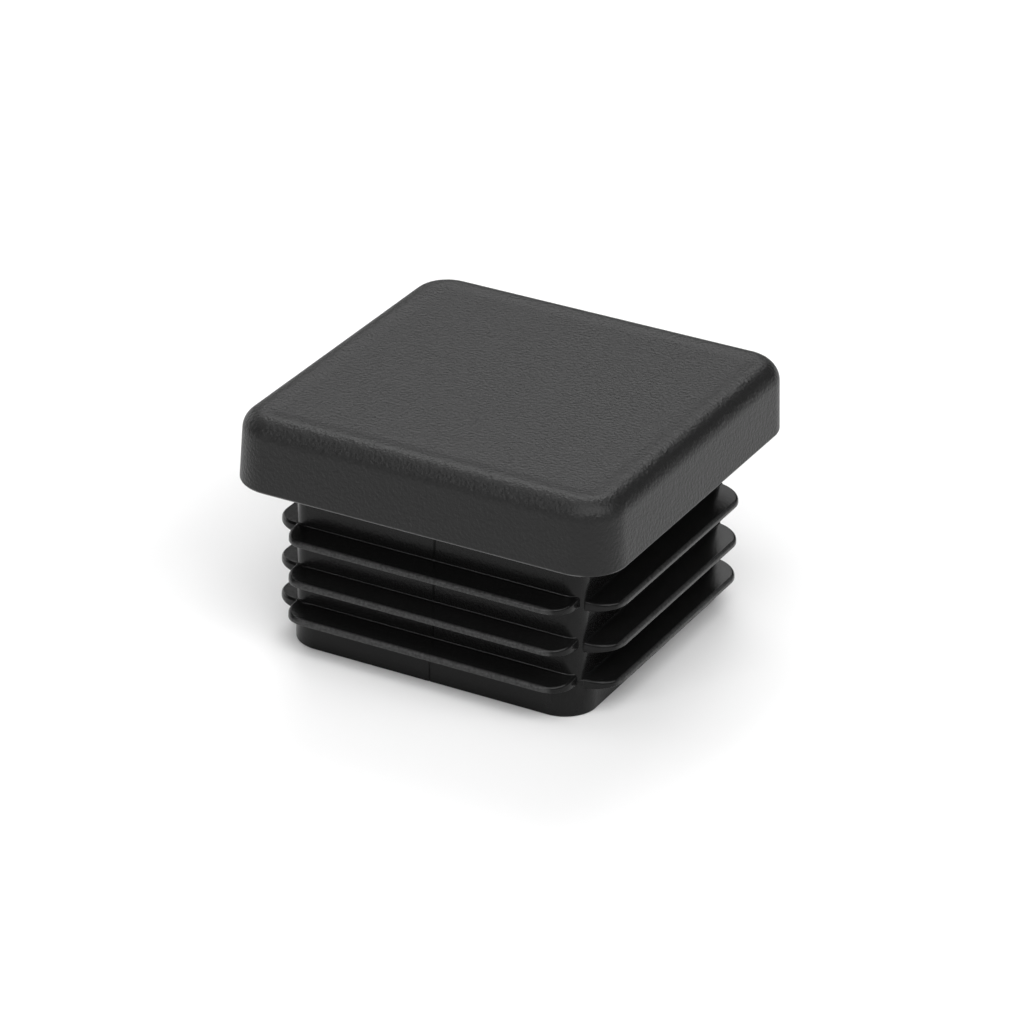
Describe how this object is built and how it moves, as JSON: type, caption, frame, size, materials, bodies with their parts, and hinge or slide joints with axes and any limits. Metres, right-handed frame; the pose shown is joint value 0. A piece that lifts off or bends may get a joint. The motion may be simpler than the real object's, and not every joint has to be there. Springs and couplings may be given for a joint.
{
  "type": "square tube end cap",
  "caption": "Square ribbed tube insert: a flat head with rounded edges on a hollow skirt, ringed by three rows of thin flat fins that bend and grip the tube's bore.",
  "frame": {"origin": "middle of the skirt's open mouth, on the plane that the cap stands on", "axes": "+Z along the tube's axis, from the skirt's mouth to the head; X and Y square to the cap's sides"},
  "size_m": [0.03, 0.03, 0.0183],
  "materials": {
    "black_ldpe": "moulded, finely spark-eroded head and smoother skirt"
  },
  "bodies": {
    "root": {"end_cap": "black_ldpe"}
  },
  "joints": []
}
